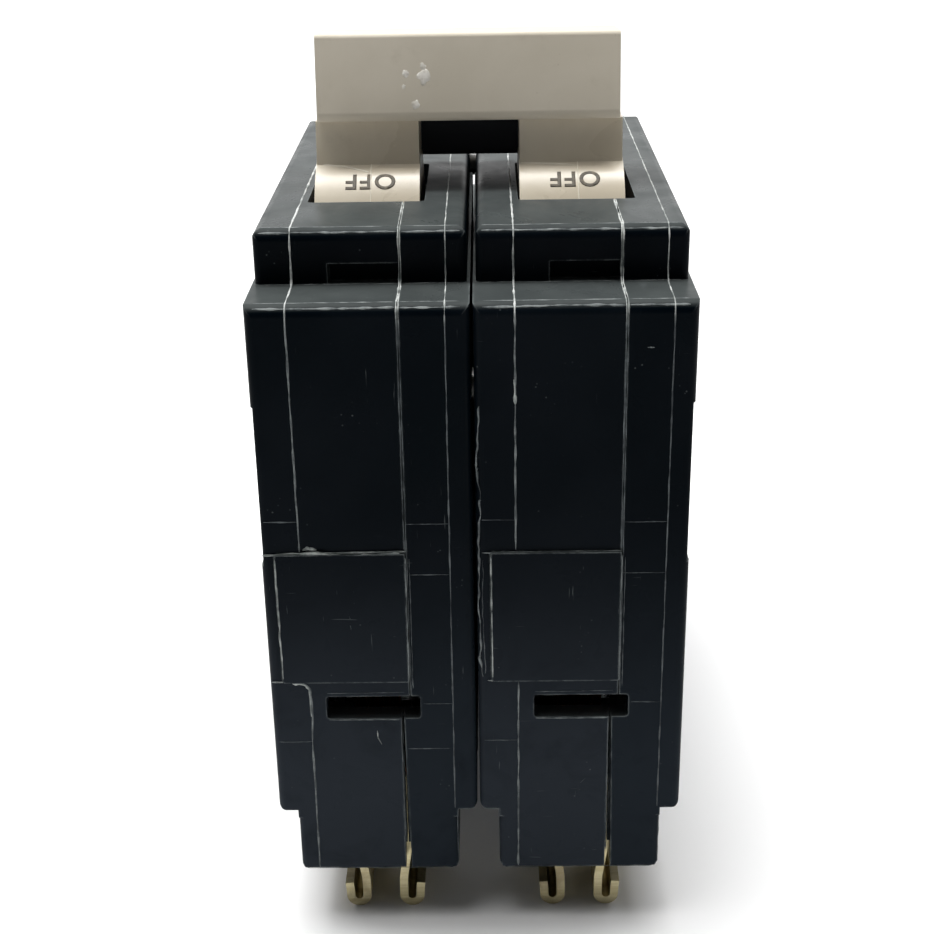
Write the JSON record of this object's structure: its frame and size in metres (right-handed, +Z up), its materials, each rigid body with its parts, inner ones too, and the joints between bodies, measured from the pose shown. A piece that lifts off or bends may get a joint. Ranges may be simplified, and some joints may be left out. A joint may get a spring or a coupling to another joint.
{
  "type": "molded case breaker",
  "caption": "Plug-on molded case circuit breaker: joined black poles, tan toggles under a common tie bar, sprung bus jaws, load lugs and a trip mechanism inside.",
  "frame": {"origin": "centre of the footprint on the surface the breaker stands on (jaw lips and load foot)", "axes": "+Z up through the toggles, +Y from the line end to the load end, +X across the poles"},
  "size_m": [0.0378, 0.0762, 0.0812],
  "materials": {
    "case_black": "satin moulded black phenolic with rubbed edges",
    "handle_tan": "satin moulded tan",
    "link_black": "satin black",
    "trip_plastic": "matt black",
    "copper": "rolled copper",
    "contact_silver": "silver alloy, fine brushed",
    "steel": "zinc plated",
    "spring_steel": "plain spring steel",
    "jaw_brass": "dull brass with dark tarnish outside",
    "fibre": "vulcanised fibre",
    "bimetal": "laminated strip",
    "plated_lug": "tin plated",
    "plated_screw": "zinc plated",
    "rivet_steel": "dull zinc",
    "label": "plain printed film, blank"
  },
  "bodies": {
    "case": {"case_base_1": "case_black", "case_cover_1": "case_black", "arm_pin_1": "steel", "line_strap_1": "copper", "fixed_contact_1": "contact_silver", "jaw_leaf_left_1": "jaw_brass", "jaw_leaf_right_1": "jaw_brass", "jaw_clip_1": "spring_steel", "arc_plates_1": "steel", "arc_walls_1": "fibre", "magnet_yoke_1": "steel", "bimetal_1": "bimetal", "load_strap_1": "copper", "calibration_screw_1": "steel", "braid_1": "copper", "terminal_lug_1": "plated_lug", "case_base_2": "case_black", "case_cover_2": "case_black", "arm_pin_2": "steel", "line_strap_2": "copper", "fixed_contact_2": "contact_silver", "jaw_leaf_left_2": "jaw_brass", "jaw_leaf_right_2": "jaw_brass", "jaw_clip_2": "spring_steel", "arc_plates_2": "steel", "arc_walls_2": "fibre", "magnet_yoke_2": "steel", "bimetal_2": "bimetal", "load_strap_2": "copper", "calibration_screw_2": "steel", "braid_2": "copper", "terminal_lug_2": "plated_lug", "case_rivets": "rivet_steel", "side_label": "label"},
    "handle": {"handle_1": "handle_tan", "handle_2": "handle_tan", "handle_tie": "handle_tan", "handle_link": "link_black"},
    "trip_bar": {"trip_bar": "trip_plastic"},
    "contact_arm_1": {"contact_arm_1": "copper", "moving_contact_1": "contact_silver", "arm_spring_1": "spring_steel"},
    "contact_arm_2": {"contact_arm_2": "copper", "moving_contact_2": "contact_silver", "arm_spring_2": "spring_steel"},
    "armature_1": {"armature_1": "steel"},
    "trip_lever_1": {"trip_lever_1": "steel"},
    "armature_2": {"armature_2": "steel"},
    "trip_lever_2": {"trip_lever_2": "steel"},
    "pressure_plate_1": {"pressure_plate_1": "steel"},
    "terminal_screw_1": {"terminal_screw_1": "plated_screw"},
    "pressure_plate_2": {"pressure_plate_2": "steel"},
    "terminal_screw_2": {"terminal_screw_2": "plated_screw"}
  },
  "joints": [
    {"name": "handle_throw", "type": "hinge", "parent": "case", "child": "handle", "pos_m": [0, -0.01405, 0.0625], "axis": [1, 0, 0], "range_deg": [0, 36]},
    {"name": "contact_arm_turn_1", "type": "hinge", "parent": "case", "child": "contact_arm_1", "pos_m": [-0.00953, -0.01405, 0.049], "axis": [1, 0, 0], "range_deg": [-34, 0]},
    {"name": "contact_arm_turn_2", "type": "hinge", "parent": "case", "child": "contact_arm_2", "pos_m": [0.00953, -0.01405, 0.049], "axis": [1, 0, 0], "range_deg": [-34, 0]},
    {"name": "trip_bar_turn", "type": "hinge", "parent": "case", "child": "trip_bar", "pos_m": [0, 0.00775, 0.0295], "axis": [1, 0, 0], "range_deg": [-5, 0], "stiffness_Nm_per_rad": 0.02},
    {"name": "armature_tilt_1", "type": "hinge", "parent": "case", "child": "armature_1", "pos_m": [-0.00953, 0.01375, 0.0545], "axis": [1, 0, 0], "range_deg": [0, 2.5]},
    {"name": "trip_lever_drop_1", "type": "hinge", "parent": "case", "child": "trip_lever_1", "pos_m": [-0.00953, 0.00325, 0.0565], "axis": [1, 0, 0], "range_deg": [-22, 0]},
    {"name": "armature_tilt_2", "type": "hinge", "parent": "case", "child": "armature_2", "pos_m": [0.00953, 0.01375, 0.0545], "axis": [1, 0, 0], "range_deg": [0, 2.5]},
    {"name": "trip_lever_drop_2", "type": "hinge", "parent": "case", "child": "trip_lever_2", "pos_m": [0.00953, 0.00325, 0.0565], "axis": [1, 0, 0], "range_deg": [-22, 0]},
    {"name": "clamp_travel_1", "type": "slide", "parent": "case", "child": "pressure_plate_1", "axis": [0, 0, 1], "range_m": [-0.0022, 0]},
    {"name": "screw_turn_1", "type": "hinge", "parent": "pressure_plate_1", "child": "terminal_screw_1", "pos_m": [-0.00953, 0.02825, 0.0525], "axis": [0, 0, 1], "range_deg": [-990, 0]},
    {"name": "clamp_travel_2", "type": "slide", "parent": "case", "child": "pressure_plate_2", "axis": [0, 0, 1], "range_m": [-0.0022, 0]},
    {"name": "screw_turn_2", "type": "hinge", "parent": "pressure_plate_2", "child": "terminal_screw_2", "pos_m": [0.00953, 0.02825, 0.0525], "axis": [0, 0, 1], "range_deg": [-990, 0]}
  ],
  "couplings": [
    {"joint": "contact_arm_turn_1", "follows": "handle_throw", "ratio": -0.9167},
    {"joint": "contact_arm_turn_2", "follows": "handle_throw", "ratio": -0.9167},
    {"joint": "armature_tilt_1", "follows": "trip_bar_turn", "ratio": -0.45},
    {"joint": "armature_tilt_2", "follows": "trip_bar_turn", "ratio": -0.45},
    {"joint": "trip_lever_drop_2", "follows": "trip_lever_drop_1", "ratio": 1}
  ]
}
